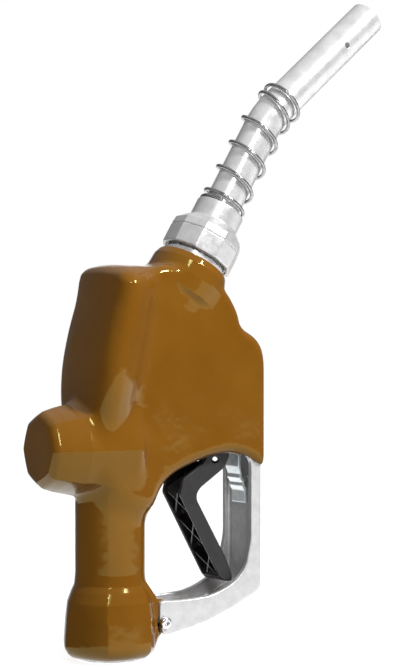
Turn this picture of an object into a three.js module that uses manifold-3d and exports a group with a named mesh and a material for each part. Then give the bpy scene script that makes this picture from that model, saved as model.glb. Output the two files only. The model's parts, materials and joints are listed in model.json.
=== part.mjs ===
// An automatic shut-off fuel nozzle in millimetres.
// +Z runs up the grip from the inlet face, and +X points to the lever.
import * as THREE from "three";
import { ConvexGeometry } from "three/addons/geometries/ConvexGeometry.js";
import { mergeVertices } from "three/addons/utils/BufferGeometryUtils.js";
import Module from "manifold-3d";

const wasm = await Module();
wasm.setup();

// Driving dimensions
const GAP = 0.3; // between pieces that touch
const VINYL = 2.0; // wall of the dipped cover
const CASTING_INSET = VINYL + GAP; // from the cover's outside to the casting
const GRIP_R = 18.8;
const BELL_R = 24.5; // the wider inlet end of the grip
const BELL_ROUND = 4.5; // its rounded lower edge
const BELL_TOP = 37;
const INLET_R = 13.3; // 3/4 in pipe thread, major diameter
const SLAB_HALF = 18.5; // half thickness of the body
const LOBE_HALF = 31; // half width of the vacuum cap hump
const STUB_R = 23.5; // the blunt end over the main cap
const STUB_LENGTH = 43.5; // its end, from the grip's axis
const MAIN_Z = 112.5; // height of the main valve's axis
const PIVOT = [62, 147]; // lever pivot, x and z
const PLUNGER_TILT = 16; // plunger axis above the horizontal, in degrees
const SPOUT_BASE = [53.8, 215]; // underside of the spout nut, x and z
const SPOUT_TILT = 30.5; // neck axis from the vertical, in degrees
const SPOUT_BEND = 18; // further bend of the spout, in degrees
const SPOUT_R = 10.3;
const SPOUT_BORE = 9.1;
const NUT_R = 20;
const NUT_NECK_R = 13.9;
const NUT_HEIGHT = 32.4;
const GUARD_HALF = 15; // half width of the guard's channel
const GUARD_X = 87.3; // outer face of the guard
const GUARD_WALL = 3.4;
const LEVER_HALF = 10;
const LEVER_WALL = 2;
const CAVITY_HALF = 11.8; // lever slot in the casting
const PIN_R = 2.5;
const ROUND = 18; // sides of a round piece
const FINE = 24;
const SMALL = 10;
const FAR = 300; // longer than anything here

// ---------- helpers ----------
const deg = THREE.MathUtils.degToRad;

function solid(geometry) {
  const bare = geometry.index ? geometry.toNonIndexed() : geometry.clone();
  bare.deleteAttribute("normal");
  bare.deleteAttribute("uv");
  const merged = mergeVertices(bare, 1e-4);
  const triVerts = new Uint32Array(merged.index.array);
  const vertProperties = merged.attributes.position.array;
  const build = () => new wasm.Manifold(new wasm.Mesh({ numProp: 3, vertProperties, triVerts }));
  const made = build();
  if (made.volume() > 0) return made;
  for (let i = 0; i < triVerts.length; i += 3) {
    [triVerts[i + 1], triVerts[i + 2]] = [triVerts[i + 2], triVerts[i + 1]];
  }
  return build();
}

const join = (...solids) => solids.reduce((a, b) => a.add(b));
const cut = (base, ...tools) => tools.reduce((a, b) => a.subtract(b), base);

function frameAt([x, z], tiltDeg) {
  const frame = new THREE.Group();
  frame.position.set(x, 0, z);
  frame.rotation.y = deg(tiltDeg);
  frame.updateMatrix();
  return frame;
}

const spoutFrame = frameAt(SPOUT_BASE, SPOUT_TILT); // local +Z runs up the spout
const plungerFrame = frameAt(PIVOT, PLUNGER_TILT - 90); // local +Z runs from the pivot to the vacuum cap
const mainFrame = frameAt([0, MAIN_Z], -90); // local +Z runs from the lever to the main cap
const inFrame = (frame, shape) => shape.transform(frame.matrix.toArray());

function lathe(profile, sides = ROUND, phase = 0) {
  const points = profile.map(([r, z]) => new THREE.Vector2(r, z));
  return solid(new THREE.LatheGeometry(points, sides, phase).rotateX(Math.PI / 2));
}

const rod = (r, z0, z1, sides = ROUND) => lathe([[0, z0], [r, z0], [r, z1], [0, z1]], sides);
const ring = (inner, outer, z0, z1, sides = ROUND) =>
  lathe([[inner, z0], [outer, z0], [outer, z1], [inner, z1], [inner, z0]], sides);

// A side outline in x and z, extruded from y0 to y1.
function plate(outline, y0, y1) {
  const shape = new THREE.Shape(outline.map(([x, z]) => new THREE.Vector2(x, z)));
  const geometry = new THREE.ExtrudeGeometry(shape, { depth: y1 - y0, bevelEnabled: false });
  return solid(geometry.rotateX(Math.PI / 2).translate(0, y1, 0));
}

const slab = (outline, half) => plate(outline, -half, half);

// A cylinder along Y through (x, z).
const crossRod = (x, z, r, y0, y1, sides = SMALL) =>
  solid(new THREE.CylinderGeometry(r, r, y1 - y0, sides).translate(x, (y0 + y1) / 2, z));

function hullOfBalls(balls) {
  const points = [];
  for (const [x, y, z, r] of balls) {
    const ball = new THREE.IcosahedronGeometry(r, 1).translate(x, y, z).attributes.position;
    for (let i = 0; i < ball.count; i++) points.push(new THREE.Vector3().fromBufferAttribute(ball, i));
  }
  return solid(mergeVertices(new ConvexGeometry(points), 1e-3));
}

class Helix extends THREE.Curve {
  constructor(radius, z0, z1, turns) {
    super();
    Object.assign(this, { radius, z0, z1, turns });
  }
  getPoint(t, target = new THREE.Vector3()) {
    const a = 2 * Math.PI * this.turns * t;
    const z = this.z0 + (this.z1 - this.z0) * t;
    return target.set(this.radius * Math.cos(a), this.radius * Math.sin(a), z);
  }
}

function tube(curve, radius, steps, sides = 5) {
  const circle = new THREE.Path().absarc(0, 0, radius, 0, 2 * Math.PI).getPoints(sides);
  const shape = new THREE.Shape(circle.slice(0, sides));
  return solid(new THREE.ExtrudeGeometry(shape, { extrudePath: curve, steps, bevelEnabled: false }));
}

const coil = (radius, wire, z0, z1, turns) =>
  tube(new Helix(radius, z0 + wire, z1 - wire, turns), wire, Math.round(turns * 8), 4);

// ---------- outside shape of the body ----------
const BODY_OUTLINE = [
  [-15, 100], [-2, 84], [16, 80], [22, 91], [29.5, 98.5], [40, 104.5], [54, 109], [67, 109.5],
  [78, 105.5], [89.5, 97.5], [89.5, 163], [84, 172], [73.5, 177], [72, 186], [62, 201], [34, 212],
  [16, 210], [0, 196], [-10, 160],
];
const LOBE_CENTRES = [
  [-10.5, 135], [-7, 155], [-1.5, 180], [5, 199.5], [12, 199.5], [7, 180], [2, 140],
];
const LOBE_ROUND = 12;


// The body's rounded edge, in steps: how far in from the outline, and from the side.
const SLAB_STEPS = [[0, 3.5], [1, 1.2], [3, 0]];

// Moves each corner of an outline inwards, where the outline runs anticlockwise.
function insetOutline(outline, inset) {
  const count = outline.length;
  const normals = outline.map(([x, z], i) => {
    const [nx, nz] = outline[(i + 1) % count];
    const length = Math.hypot(nx - x, nz - z);
    return [-(nz - z) / length, (nx - x) / length];
  });
  return outline.map(([x, z], i) => {
    const [ax, az] = normals[(i + count - 1) % count];
    const [bx, bz] = normals[i];
    const scale = inset / (1 + ax * bx + az * bz);
    return [x + (ax + bx) * scale, z + (az + bz) * scale];
  });
}

function bodyShape(inset, bottom) {
  const grip = GRIP_R - inset;
  const bell = BELL_R - inset;
  const top = MAIN_Z + 5.5;
  const handle = lathe([
    [0, bottom], [bell - BELL_ROUND, bottom], [bell, bottom + 6], [bell, BELL_TOP],
    [grip, BELL_TOP + 9], [grip, top], [0, top],
  ]);
  const stubEnd = STUB_LENGTH - inset;
  const stub = inFrame(mainFrame, lathe([
    [0, -8], [STUB_R - inset, -8], [STUB_R - inset, 24], [STUB_R - 3.5 - inset, 37],
    [STUB_R - 8.5 - inset, stubEnd], [0, stubEnd],
  ]));
  const lobe = hullOfBalls(LOBE_CENTRES.flatMap(([x, z]) =>
    [-1, 1].map((side) => [x, side * (LOBE_HALF - LOBE_ROUND), z, LOBE_ROUND - inset])));
  const main = join(...SLAB_STEPS.map(([edge, depth]) =>
    slab(insetOutline(BODY_OUTLINE, inset + edge), SLAB_HALF - inset - depth)));
  const neckTop = -3.7 - inset / 4;
  const neck = inFrame(spoutFrame, lathe([
    [0, -40], [16 - inset, -34], [21 - inset, -19], [21 - inset, -10],
    [18.5 - inset, neckTop], [0, neckTop],
  ], FINE));
  return join(handle, stub, lobe, main, neck);
}

// ---------- spaces inside ----------
const CAVITY = [
  [20.3, 60], [20.3, 98.5], [25, 104.5], [37.5, 109.8], [43.5, 112.5], [43.5, 155.5], [75.8, 155.5],
  [75.8, 138], [77.2, 128], [77.2, 60],
];
const POCKET = [[74.5, 60], [74.5, 128.5], [87.45, 128.5], [87.45, 60]]; // the guard's top end
const RISER = [
  [16.8, 102.5], [18.2, 102.5], [19.5, 109], [27.5, 109.2], [30, 120], [31, 150], [36, 165], [50, 188],
  [52, 197], [40, 203], [28, 190], [16.8, 150],
];
const SEAT_X = 14;
const STEM_HOLE = 3.4;
const PLUNGER_BORE = 6.5;
const LUG_OUTLINE = [[10, 9], [24, 9.5], [29, 14], [32, 15.5], [32, 28], [27, 30.5], [10, 33]];
const SCREW_AT = [25.2, 18.7];
const TOP_PIN_AT = [80.5, 122];
const CLIP_PIN_AT = [80, 112.3];
const SCREW_HOLE = 2.3;
const TOP_PIN_HOLE = 2.1;
const CLIP_PIN_HOLE = 1.8;
const CAP_SCREW_RING = 22.5;
const CAP_SCREW_HOLE = 1.9;
const COLLAR_R = 17.75;
const LUG_INSET = 4.3; // from the guard's side to the lug's
const LATCH_Z = 53; // ring of the latch balls, from the pivot
const LATCH_ANGLES = [90, 210, 330];
const CAP_SCREW_ANGLES = [45, 135, 225, 315];

const aroundCap = (shape, angleDeg) => {
  const turned = new THREE.Matrix4().makeRotationZ(deg(angleDeg));
  turned.multiply(new THREE.Matrix4().makeTranslation(CAP_SCREW_RING, 0, 0));
  return shape.transform(turned.toArray());
};

function guardLug(inset) {
  return slab(insetOutline(LUG_OUTLINE, inset), GUARD_HALF - LUG_INSET - inset);
}

function makeCasting() {
  const spoutBore = inFrame(spoutFrame, join(rod(13, -18, 20, FINE), rod(9.6, -30, -17)));
  const collar = inFrame(spoutFrame, lathe([
    [0, -12], [COLLAR_R, -12], [COLLAR_R, -0.6], [16.4, -0.6], [16.4, 9], [0, 9],
  ], FINE));
  const outside = join(bodyShape(CASTING_INSET, 0), collar, guardLug(CASTING_INSET));
  const hose = join(rod(10.5, -5, 112), rod(INLET_R, -5, 20));
  const valve = inFrame(mainFrame, join(
    rod(15.6, -SEAT_X, 50), rod(10.5, -SEAT_X - 3, 0), rod(STUB_R + 6, 33, 60),
  ));
  const hollow = cut(
    outside, hose, valve, slab(RISER, 12), spoutBore,
    slab(CAVITY, CAVITY_HALF), slab(POCKET, GUARD_HALF + GAP),
  );
  const plungerTube = inFrame(plungerFrame, rod(9, 24, 60));
  const stemBoss = inFrame(mainFrame, rod(7, -36, -24));
  const pinLug = slab([[77.4, 117.5], [83.7, 117.5], [83.7, 140], [77.4, 140]], 11);
  const solidParts = join(hollow, plungerTube, stemBoss, pinLug);
  const plungerBore = inFrame(plungerFrame, join(
    rod(4.8, -10, 25), rod(PLUNGER_BORE, 24, 47), rod(7.2, 46, 62),
    rod(22, 60, 68, FINE), rod(26.6, 66, 100, FINE),
  ));
  const stemBore = inFrame(mainFrame, join(
    rod(STEM_HOLE, -46, -10), rod(5.6, -46, -31), rod(6.5, -46, -35.2),
  ));
  const capHoles = CAP_SCREW_ANGLES.map((a) =>
    inFrame(plungerFrame, aroundCap(rod(CAP_SCREW_HOLE, 58, 70, SMALL), a)));
  return cut(
    solidParts, plungerBore, stemBore, ...capHoles,
    crossRod(...TOP_PIN_AT, TOP_PIN_HOLE, -FAR, FAR), crossRod(...SCREW_AT, SCREW_HOLE, -FAR, FAR),
  );
}

function makeCover() {
  const outside = join(bodyShape(0, 0.6), guardLug(0));
  const inside = join(bodyShape(VINYL, -GAP), guardLug(VINYL));
  const collarHole = inFrame(spoutFrame, rod(COLLAR_R + GAP, -8, 20, FINE));
  return cut(
    outside, inside, collarHole, slab(CAVITY, CAVITY_HALF), slab(POCKET, GUARD_HALF + GAP),
    crossRod(...SCREW_AT, SCREW_HOLE, -FAR, FAR),
  );
}

// ---------- guard and clip ----------
const GUARD_OUTER = [
  [76, 127], [76, 109], [81, 103.5], [81, 61], [77.8, 46.2], [74, 40.5], [68.8, 36.6], [61, 33],
  [52.9, 30.7], [38, 29.7], [22.4, 30.4], [22.4, 20], [24.5, 11.5], [40, 14.3], [53.6, 17.7], [70, 24],
  [GUARD_X, 32.5], [GUARD_X, 127],
];
const GUARD_CHANNEL = [
  [70, 130], [70, 60], [50, 40], [10, 40], [10, 5], [33.5, 5], [33.5, 16.3], [40, 17.7], [53.6, 21.1],
  [70, 27.4], [GUARD_X - GUARD_WALL, 34.4], [GUARD_X - GUARD_WALL, 130],
];

function makeGuard() {
  const holes = [
    [...TOP_PIN_AT, TOP_PIN_HOLE], [...CLIP_PIN_AT, CLIP_PIN_HOLE], [...SCREW_AT, SCREW_HOLE],
  ];
  return cut(
    slab([...GUARD_OUTER].reverse(), GUARD_HALF), slab(GUARD_CHANNEL, GUARD_HALF - GUARD_WALL),
    ...holes.map(([x, z, r]) => crossRod(x, z, r, -FAR, FAR)),
  );
}

function makeClip() {
  const half = 6.5;
  const knuckle = crossRod(...CLIP_PIN_AT, 2.9, -half, half);
  const leaf = [
    [78.2, 112], [77.6, 100], [79, 95.5], [78.6, 93.5], [80.6, 91], [80.2, 89], [81.8, 86.5], [82, 79.5],
    [83.4, 79.5], [83.4, 87.5], [81.9, 90], [82.1, 92], [80.2, 94], [80.4, 96], [79.4, 100.5],
    [80.4, 112],
  ];
  return cut(join(knuckle, slab(leaf, half)), crossRod(...CLIP_PIN_AT, CLIP_PIN_HOLE, -FAR, FAR));
}

function makeClipSpring() {
  const [x, z] = CLIP_PIN_AT;
  const y0 = -7.4;
  const points = [];
  for (let i = 0; i <= 24; i++) {
    const a = (i / 8) * 2 * Math.PI;
    points.push(new THREE.Vector3(x + 2.6 * Math.cos(a), y0 - i * 0.12, z + 2.6 * Math.sin(a)));
  }
  points.push(new THREE.Vector3(x + 2.4, y0 - 2.9, z - 8), new THREE.Vector3(x + 1.6, y0 - 2.9, z - 18));
  return tube(new THREE.CatmullRomCurve3(points), 0.4, 60);
}

// ---------- lever ----------
const LEVER_OUTLINE = [
  [38, 86.5], [63.6, 39.9], [66, 37.5], [71.5, 37], [71.8, 40.5], [67.7, 50.2], [48.9, 83], [49, 86.5],
  [51.3, 89.5], [66.6, 99.8], [69.6, 105], [71, 112], [70.5, 130], [68.8, 147], [66.8, 152], [62, 154],
  [57.2, 152], [55.2, 147], [55, 106.5], [52.5, 103], [39.8, 94.5],
];
const LEVER_HOLLOW = [
  [30, 96], [30, 60], [60, 30], [64.5, 41], [66, 48], [46.9, 82], [46.8, 87], [50, 91.2], [64.5, 101],
  [66.5, 104.5], [50, 104.5], [46, 108],
];
const LEVER_HOLE_AT = [60.9, 104.4]; // the hole seen right through it
const LEVER_HOLE = 1.6;
const LEVER_FORK = [[50, 120], [75, 120], [75, 160], [50, 160]];
const LEVER_RIBS = [
  [[41, 86.5], [47, 80.5], [48, 81.5], [42, 88]],
  [[47.5, 75.5], [51, 74], [52.4, 76.5], [49, 77]],
];

function makeLever() {
  const inner = LEVER_HALF - LEVER_WALL;
  const shell = cut(slab(LEVER_OUTLINE, LEVER_HALF), slab(LEVER_HOLLOW, inner), slab(LEVER_FORK, inner));
  const ribs = LEVER_RIBS.map((outline) => slab(outline, inner + 0.5));
  return cut(
    join(shell, ...ribs),
    crossRod(...PIVOT, PIN_R + GAP, -FAR, FAR), crossRod(...LEVER_HOLE_AT, LEVER_HOLE, -FAR, FAR),
  );
}

// ---------- spout ----------
// The spout's centre line in its own frame goes up the neck axis, round one bend and on to the tip.
const SPOUT_BEND_R = 60;
const BEND_FROM = 85; // distance along the line where the bend starts
const BEND_TO = BEND_FROM + SPOUT_BEND_R * deg(SPOUT_BEND);
const SPOUT_LENGTH = BEND_TO + 84;

// The point at distance s along the line, moved by [u, v] in the section there.
function onSpout(s, u = 0, v = 0) {
  const tilt = THREE.MathUtils.clamp((s - BEND_FROM) / SPOUT_BEND_R, 0, deg(SPOUT_BEND));
  const before = Math.min(s, BEND_FROM);
  const after = Math.max(0, s - BEND_TO);
  const across = SPOUT_BEND_R * (1 - Math.cos(tilt)) + after * Math.sin(tilt);
  const along = before + SPOUT_BEND_R * Math.sin(tilt) + after * Math.cos(tilt);
  return new THREE.Vector3(across + u * Math.cos(tilt), v, along - u * Math.sin(tilt));
}

// A round bar along the spout's line from start to end, made ring by ring so that its ends stay square.
function bar(start, end, radius, sides, drop = 0) {
  const bendSteps = 5;
  const bendStations = Array.from({ length: bendSteps + 1 }, (_, i) =>
    BEND_FROM + ((BEND_TO - BEND_FROM) * i) / bendSteps);
  const stations = [start, ...bendStations, end];
  const positions = [];
  const index = [];
  for (const s of stations) {
    for (let k = 0; k < sides; k++) {
      const a = (2 * Math.PI * k) / sides;
      positions.push(...onSpout(s, drop + radius * Math.cos(a), radius * Math.sin(a)));
    }
  }
  const last = stations.length - 1;
  for (let i = 0; i < last; i++) {
    for (let k = 0; k < sides; k++) {
      const n = (k + 1) % sides;
      const [a, b, c, d] = [i * sides + k, i * sides + n, (i + 1) * sides + n, (i + 1) * sides + k];
      index.push(a, b, c, a, c, d);
    }
  }
  for (let k = 1; k < sides - 1; k++) {
    index.push(0, k + 1, k, last * sides, last * sides + k, last * sides + k + 1);
  }
  const geometry = new THREE.BufferGeometry();
  geometry.setAttribute("position", new THREE.Float32BufferAttribute(positions, 3));
  return solid(geometry.setIndex(index));
}

const VENT_S = SPOUT_LENGTH - 28.6; // the vent hole's place along the spout
const VENT_R = 1.6;
const SPOUT_START = 4;
const VENT_TUBE_R = 2.2;
const VENT_TUBE_DROP = 5.6; // its axis below the spout's

function makeSpout() {
  const vent = onSpout(VENT_S);
  const wall = bar(SPOUT_START, SPOUT_LENGTH, SPOUT_R, ROUND);
  const bore = bar(SPOUT_START - 1, SPOUT_LENGTH + 1, SPOUT_BORE, ROUND);
  return cut(wall, bore, crossRod(vent.x, vent.z, VENT_R, -2 * SPOUT_R, 0));
}

const SPRING = {
  radius: 12.4,
  wire: 1,
  low: 33.6,
  turns: 6.3,
  phase: 0.34,
  closedPitch: 2.2,
  openPitch: 16.3,
  opens: [0.7, 1.5], // turns over which the closed end opens out
  closes: [4.9, 5.9],
};

// The integral of a ramp that climbs from 0 to 1 between two turns.
function rampSum(turn, [from, to]) {
  if (turn < from) return 0;
  return turn < to ? (turn - from) ** 2 / (2 * (to - from)) : turn - (from + to) / 2;
}

class SpoutSpringLine extends THREE.Curve {
  getPoint(t, target = new THREE.Vector3()) {
    const turn = SPRING.turns * t;
    const open = rampSum(turn, SPRING.opens) - rampSum(turn, SPRING.closes);
    const s = SPRING.low + SPRING.closedPitch * turn + (SPRING.openPitch - SPRING.closedPitch) * open;
    const a = 2 * Math.PI * (turn + SPRING.phase);
    return target.copy(onSpout(s, SPRING.radius * Math.cos(a), -SPRING.radius * Math.sin(a)));
  }
}

function makeNut() {
  const facets = 10;
  const ringShape = lathe([
    [0, 0], [NUT_R - 0.8, 0], [NUT_R, 1], [NUT_R, 11.2], [NUT_R - 1, 16], [NUT_NECK_R + 1.5, 21], [0, 21],
  ], facets, 0.2);
  const outside = join(ringShape, rod(NUT_NECK_R, 20, NUT_HEIGHT, FINE));
  return cut(outside, rod(18.1, -1, 0.9, FINE), rod(16.8, -1, 12.4, FINE), rod(10.7, 10, 40, FINE));
}

// ---------- parts of the valves ----------
function makePlunger() {
  const eye = slab([[-6, -6], [6, -6], [6, 7], [-6, 7]], 7);
  const body = join(eye, rod(4.5, 5, 44.5), rod(6.2, 44, 58));
  const ballHoles = LATCH_ANGLES.map((a) => {
    const hole = new THREE.CylinderGeometry(2.1, 2.1, 8, SMALL).rotateZ(Math.PI / 2);
    return solid(hole.translate(6, 0, LATCH_Z).rotateZ(deg(a)));
  });
  return cut(body, rod(3.1, 45.5, 60), crossRod(0, 0, PIN_R + GAP, -FAR, FAR), ...ballHoles);
}

const makeLatchPin = () => lathe([
  [0, 46.6], [2.2, 46.6], [2.8, 49], [2.8, 59], [2.3, 60], [2.3, 63.4], [9, 63.4], [9, 65.9], [2, 65.9],
  [2, 70.2], [0, 70.2],
]);

const withCapHoles = (shape) =>
  cut(shape, ...CAP_SCREW_ANGLES.map((a) => aroundCap(rod(CAP_SCREW_HOLE, 60, 75, SMALL), a)));

function makeVacuumCap() {
  const shell = lathe([
    [0, 74], [16.5, 74], [16.5, 67.9], [26, 67.9], [26, 71.2], [19, 71.2], [18, 74.5], [15, 76], [0, 76],
  ], FINE);
  return withCapHoles(shell);
}

const makeDiaphragm = () => withCapHoles(ring(2.4, 25.8, 66.3, 67.6, FINE));

const capScrew = () => join(rod(1.6, 59, 72, SMALL), rod(3, 71.5, 73.3, SMALL));

function panScrew(side) {
  const [x, z] = SCREW_AT;
  const geometry = new THREE.LatheGeometry([
    [0, 5], [2, 5], [2, 15.3], [4.2, 15.3], [4.2, 16.6], [3.2, 18], [1.4, 18.3], [1.4, 16.9], [0, 16.9],
  ].map(([r, h]) => new THREE.Vector2(r, h)), 18);
  if (side < 0) geometry.rotateX(Math.PI);
  return solid(geometry.translate(x, 0, z));
}

function makeMainCap() {
  const body = lathe([
    [0, 29.5], [11.5, 29.5], [11.5, 20], [15.2, 20], [15.2, 28.5], [13.4, 28.5], [13.4, 31.6],
    [15.2, 31.6], [15.2, 33.3], [17, 33.3], [17, 35.8], [0, 35.8],
  ]);
  const hex = rod(14, 35, 38, 6);
  return join(body, hex);
}

function makeAdapter() {
  return lathe([
    [8.5, -2], [12.6, -2], [12.6, 3.8], [11.4, 3.8], [11.4, 6.4], [12.6, 6.4], [12.6, 9.3],
    [15.6, 9.3], [15.6, 12], [10.6, 12], [10.6, 3.4], [8.5, 3.4], [8.5, -2],
  ], FINE);
}

const makeCheckPoppet = () => lathe([
  [0, -20], [2, -20], [2, -11.6], [11.3, -11.6], [11.3, -9.9], [8.8, -8.4], [0, -8.4],
], FINE);

// ---------- assembly ----------
const looks = {
  casting: [0xb9bbbd, 0.45, 1],
  vinyl: [0x87581a, 0.2, 0],
  guard: [0xc9cbcc, 0.4, 1],
  plastic: [0x232225, 0.45, 0],
  zinc: [0xbfc7cc, 0.35, 1],
  steel: [0xc4c6c8, 0.25, 1],
  spout: [0xd2d3d4, 0.3, 1],
  brass: [0xb5974f, 0.4, 1],
  rubber: [0x1c1c1c, 0.8, 0],
};
const materials = {};
for (const [name, [color, roughness, metalness]] of Object.entries(looks)) {
  materials[name] = new THREE.MeshStandardMaterial({ color, roughness, metalness });
}

function piece(name, look, shape) {
  const { vertProperties, triVerts } = shape.getMesh();
  const geometry = new THREE.BufferGeometry();
  geometry.setAttribute("position", new THREE.BufferAttribute(vertProperties, 3));
  geometry.setIndex(new THREE.BufferAttribute(triVerts, 1)).computeVertexNormals();
  const mesh = new THREE.Mesh(geometry, materials[look]);
  mesh.name = name;
  return mesh;
}

const spoutPieces = [
  piece("spout_nut", "guard", makeNut()),
  piece("spout", "spout", makeSpout()),
  piece("spout_spring", "steel", tube(new SpoutSpringLine(), SPRING.wire, 90)),
  piece("spout_adapter", "brass", makeAdapter()),
  piece("spout_seal", "rubber", ring(11.7, 12.7, 4.1, 6.1)),
  piece("check_seat", "brass", ring(8.4, 12.7, -17.6, -12)),
  piece("check_poppet", "brass", makeCheckPoppet()),
  piece("check_spring", "steel", coil(10, 0.7, -8.1, -2.3, 2.5)),
  piece("vent_tube", "brass", bar(SPOUT_START, VENT_S, VENT_TUBE_R, 8, VENT_TUBE_DROP)),
];

const plungerPieces = [
  piece("plunger", "steel", makePlunger()),
  piece("plunger_spring", "steel", coil(5.5, 0.6, 25.3, 43.7, 6)),
  piece("latch_pin", "steel", makeLatchPin()),
  piece("diaphragm_plate", "steel", ring(2.3, 9, 67.9, 69.4)),
  piece("diaphragm", "rubber", makeDiaphragm()),
  piece("diaphragm_spring", "steel", coil(7, 0.5, 69.7, 73.7, 2.5)),
  piece("vacuum_cap", "casting", makeVacuumCap()),
  ...LATCH_ANGLES.map((a, i) => {
    const ball = piece(`latch_ball_${i + 1}`, "steel", solid(new THREE.IcosahedronGeometry(1.8, 1)));
    ball.position.set(5 * Math.cos(deg(a)), 5 * Math.sin(deg(a)), LATCH_Z);
    return ball;
  }),
  ...CAP_SCREW_ANGLES.map((a, i) =>
    piece(`vacuum_cap_screw_${i + 1}`, "steel", aroundCap(capScrew(), a))),
];

const mainPieces = [
  piece("main_stem", "steel", lathe([[0, -54.4], [1.6, -53.9], [3, -51.8], [3, 6], [0, 6]])),
  piece("main_poppet", "brass", ring(3.3, 13, -12, -4.8)),
  piece("poppet_seal", "rubber", ring(3.3, 12.4, -13.6, -12.3)),
  piece("main_spring", "steel", coil(9.5, 0.9, -4.5, 29.2, 6)),
  piece("main_cap", "casting", makeMainCap()),
  piece("main_cap_seal", "rubber", ring(13.7, 15.3, 29, 31.2)),
  piece("stem_packing", "rubber", ring(3.3, 5.3, -34.9, -31.2)),
  piece("packing_nut", "brass", cut(rod(6, -41, -35.5, 6), rod(STEM_HOLE, -50, 0))),
];

const fixedPieces = [
  piece("body_casting", "casting", makeCasting()),
  piece("hand_insulator", "vinyl", makeCover()),
  piece("lever_guard", "guard", makeGuard()),
  piece("guard_screw_left", "steel", panScrew(-1)),
  piece("guard_screw_right", "steel", panScrew(1)),
  piece("guard_top_pin", "steel", crossRod(...TOP_PIN_AT, 1.8, -14.9, 14.9)),
  piece("clip_pin", "steel", crossRod(...CLIP_PIN_AT, 1.5, -14.9, 14.9)),
  piece("hold_open_clip", "zinc", makeClip()),
  piece("clip_spring", "steel", makeClipSpring()),
  piece("lever", "plastic", makeLever()),
  piece("lever_pivot_pin", "steel", crossRod(...PIVOT, PIN_R, -11, 11)),
];

const nozzle = new THREE.Group();
spoutFrame.add(...spoutPieces);
plungerFrame.add(...plungerPieces);
mainFrame.add(...mainPieces);
nozzle.add(...fixedPieces, spoutFrame, plungerFrame, mainFrame);

export default nozzle;
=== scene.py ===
import json
import math

import bpy
import numpy as np
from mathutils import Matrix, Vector


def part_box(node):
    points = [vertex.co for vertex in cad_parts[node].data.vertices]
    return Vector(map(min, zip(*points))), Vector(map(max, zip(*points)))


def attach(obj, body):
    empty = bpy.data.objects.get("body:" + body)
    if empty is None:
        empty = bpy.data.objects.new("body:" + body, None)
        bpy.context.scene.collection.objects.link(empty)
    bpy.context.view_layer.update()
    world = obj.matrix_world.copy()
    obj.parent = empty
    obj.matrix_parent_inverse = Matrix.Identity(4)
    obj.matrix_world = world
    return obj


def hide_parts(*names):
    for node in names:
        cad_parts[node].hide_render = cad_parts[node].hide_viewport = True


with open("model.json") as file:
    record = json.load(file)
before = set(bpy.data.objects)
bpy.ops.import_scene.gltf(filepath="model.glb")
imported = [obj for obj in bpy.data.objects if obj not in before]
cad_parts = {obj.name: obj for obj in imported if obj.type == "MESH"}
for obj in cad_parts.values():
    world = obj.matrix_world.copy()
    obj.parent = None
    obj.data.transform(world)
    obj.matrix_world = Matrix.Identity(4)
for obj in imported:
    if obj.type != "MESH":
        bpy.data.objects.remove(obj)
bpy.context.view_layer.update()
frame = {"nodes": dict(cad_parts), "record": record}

# Lengths are in millimetres until a mesh is made. The hose goes in at the origin, +Z runs up the grip, and
# +X points to the lever. The nozzle is laid out about the plane y = 0, and a place is (x, z) in that plane.
MM = 0.001
CAMERA_TURN = math.radians(32)  # how far to the rear of straight across the camera stands
THROUGH = 100  # half length of a hole that goes right through

# The vinyl cover
VINYL = 2.0  # wall of the dipped cover
SKIN = 3.0  # how thick it is drawn, so that its mesh keeps both of its faces
GAP = 0.3  # between the cover and the casting
GRIP_R = 18.8
BELL_R = 24.5
MOUTH_R = BELL_R - VINYL - 4.5  # the opening at the hose end
BODY_HALF = 18.5
STUB_LENGTH = 43.5

# The casting
INLET_R = 13.3
INLET_RIM = 4.4
PASSAGE_R = 10.5
VALVE_R = 15.6
ADAPTER_R = 13
COLLAR_R = 17.75
SEAT_X = 14
MAIN_Z = 112.5
RISER_HALF = 12
CAVITY_HALF = 11.8
POCKET_HALF = 15.3

# What is joined to it
PIVOT = (62, 147)
PLUNGER_TILT = 16
SPOUT_BASE = (53.8, 215)
SPOUT_TILT = 30.5
GUARD_HALF = 15
LEVER_HALF = 10
SCREW_AT = (25.2, 18.7)
SCREW_HOLE = 2.3
SCREW_SEAT_R = 4.4
TOP_PIN_AT = (80.5, 122)
TOP_PIN_HOLE = 2.1
CLIP_PIN_AT = (80, 112.3)
CLIP_PIN_HOLE = 1.8


# ---------- shapes as distance fields, negative inside ----------
def turned_frame(origin, tilt):
    """A frame at origin in the XZ plane, its local Z tilted from the vertical towards +X."""
    return origin, math.radians(tilt)


GRIP_FRAME = turned_frame((0, 0), 0)
SPOUT_FRAME = turned_frame(SPOUT_BASE, SPOUT_TILT)
PLUNGER_FRAME = turned_frame(PIVOT, PLUNGER_TILT - 90)
MAIN_FRAME = turned_frame((0, MAIN_Z), -90)


def into(at, x, z):
    """x and z in the frame's own axes."""
    (ox, oz), tilt = at
    c, s = math.cos(tilt), math.sin(tilt)
    return (x - ox) * c - (z - oz) * s, (x - ox) * s + (z - oz) * c


def out_of(at, x, z):
    """Row-frame x and z of a point given in the frame's own axes."""
    (ox, oz), tilt = at
    c, s = math.cos(tilt), math.sin(tilt)
    return ox + x * c + z * s, oz - x * s + z * c


def fillet(outline, reach):
    """The outline with each corner rounded, starting up to reach from it."""
    made = []
    for i, corner in enumerate(outline):
        corner = np.array(corner, float)
        arms = []
        for other in (outline[i - 1], outline[(i + 1) % len(outline)]):
            arm = np.array(other, float) - corner
            length = np.linalg.norm(arm)
            arms.append(corner + arm / length * min(reach, length / 2))
        for t in np.linspace(0, 1, 5):
            made.append(arms[0] * (1 - t) ** 2 + corner * 2 * t * (1 - t) + arms[1] * t**2)
    return made


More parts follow.
